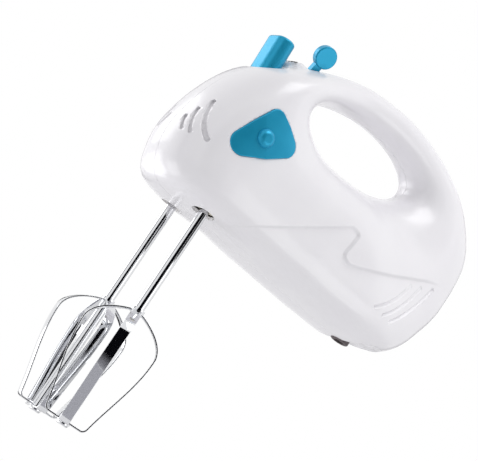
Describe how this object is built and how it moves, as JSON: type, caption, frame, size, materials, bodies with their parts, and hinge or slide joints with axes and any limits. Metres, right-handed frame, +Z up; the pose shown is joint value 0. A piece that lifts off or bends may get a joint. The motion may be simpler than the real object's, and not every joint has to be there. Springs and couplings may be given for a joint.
{
  "type": "hand mixer",
  "caption": "Electric hand mixer with a closed loop handle, worm-driven pair of four-strip beaters, eject button and sliding speed lever.",
  "frame": {"origin": "midway between the two beater axes, in the plane of the underside", "axes": "+X to the rear, nose towards -X, +Y to the mixer's right-hand side, +Z up, beaters hang along -Z"},
  "size_m": [0.225, 0.0837, 0.2725],
  "materials": {
    "white_abs": "gloss",
    "teal_abs": "gloss",
    "grey_rubber": "satin",
    "chrome": "polished",
    "steel": "machined",
    "zinc_screw": "zinc plated",
    "acetal": "natural",
    "brown_phenolic": "moulded",
    "black_nylon": "moulded",
    "bronze": "sintered",
    "lamination": "varnished laminations",
    "copper_wire": "enamelled",
    "copper_bars": "turned",
    "carbon": "carbon",
    "brass": "drawn"
  },
  "bodies": {
    "body": {"housing_left": "white_abs", "housing_right": "white_abs", "left_badge": "teal_abs", "right_badge": "teal_abs", "left_badge_cap": "teal_abs", "right_badge_cap": "teal_abs", "cord_gland": "grey_rubber", "housing_screws": "zinc_screw", "lower_gear_plate": "brown_phenolic", "upper_gear_plate": "brown_phenolic", "front_bush": "bronze", "middle_bush": "bronze", "rear_bush": "bronze", "motor_bracket": "black_nylon", "motor_cap": "black_nylon", "field_core": "lamination", "field_coils": "copper_wire", "left_brush_tube": "brass", "right_brush_tube": "brass", "left_brush": "carbon", "right_brush": "carbon", "left_brush_cap": "black_nylon", "right_brush_cap": "black_nylon", "switch_body": "black_nylon", "lever_pivot_pin": "steel", "ejector_spring": "steel"},
    "rotor": {"motor_shaft": "steel", "worm": "steel", "armature_core": "lamination", "armature_winding": "copper_wire", "commutator": "copper_bars", "fan": "black_nylon"},
    "ejector": {"eject_button": "teal_abs", "ejector_plate": "acetal"},
    "lever": {"speed_lever": "teal_abs"},
    "slider": {"switch_slider": "acetal"},
    "left_drive": {"left_worm_wheel": "acetal", "left_hub_clip": "steel"},
    "left_pin": {"left_push_pin": "steel"},
    "left_beater": {"left_beater_shaft": "chrome", "left_beater_outer_loop": "chrome", "left_beater_inner_loop": "chrome", "left_beater_rivet": "chrome"},
    "right_drive": {"right_worm_wheel": "acetal", "right_hub_clip": "steel"},
    "right_pin": {"right_push_pin": "steel"},
    "right_beater": {"right_beater_shaft": "chrome", "right_beater_outer_loop": "chrome", "right_beater_inner_loop": "chrome", "right_beater_rivet": "chrome"}
  },
  "joints": [
    {"name": "motor_spin", "type": "hinge", "parent": "body", "child": "rotor", "pos_m": [0, 0, 0.038], "axis": [1, 0, 0], "continuous": true},
    {"name": "eject_press", "type": "slide", "parent": "body", "child": "ejector", "axis": [0.0454, 0, -0.999], "range_m": [0, 0.008], "stiffness_N_per_m": 450, "springref_m": -0.004, "deforming": ["ejector_spring"]},
    {"name": "speed_select", "type": "hinge", "parent": "body", "child": "lever", "pos_m": [0.0152, 0, 0.098], "axis": [-1, 0, 0], "range_deg": [0, 37.4]},
    {"name": "switch_slide", "type": "slide", "parent": "body", "child": "slider", "axis": [0, -1, 0], "range_m": [0, 0.0078]},
    {"name": "left_drive_spin", "type": "hinge", "parent": "body", "child": "left_drive", "pos_m": [0, -0.0175, 0], "axis": [0, 0, 1], "continuous": true},
    {"name": "left_pin_push", "type": "slide", "parent": "left_drive", "child": "left_pin", "axis": [0, 0, -1], "range_m": [0, 0.008], "stiffness_N_per_m": 10, "springref_m": -0.069},
    {"name": "left_beater_pull", "type": "slide", "parent": "left_pin", "child": "left_beater", "axis": [0, 0, -1], "range_m": [0, 0.03]},
    {"name": "right_drive_spin", "type": "hinge", "parent": "body", "child": "right_drive", "pos_m": [0, 0.0175, 0], "axis": [0, 0, 1], "continuous": true},
    {"name": "right_pin_push", "type": "slide", "parent": "right_drive", "child": "right_pin", "axis": [0, 0, -1], "range_m": [0, 0.008], "stiffness_N_per_m": 10, "springref_m": -0.069},
    {"name": "right_beater_pull", "type": "slide", "parent": "right_pin", "child": "right_beater", "axis": [0, 0, -1], "range_m": [0, 0.03]}
  ],
  "couplings": [
    {"joint": "left_drive_spin", "follows": "motor_spin", "ratio": 0.076923},
    {"joint": "right_drive_spin", "follows": "motor_spin", "ratio": -0.076923},
    {"joint": "left_pin_push", "follows": "eject_press", "ratio": 0.99897},
    {"joint": "right_pin_push", "follows": "eject_press", "ratio": 0.99897},
    {"joint": "switch_slide", "follows": "speed_select", "m_per_rad": 0.011788}
  ]
}
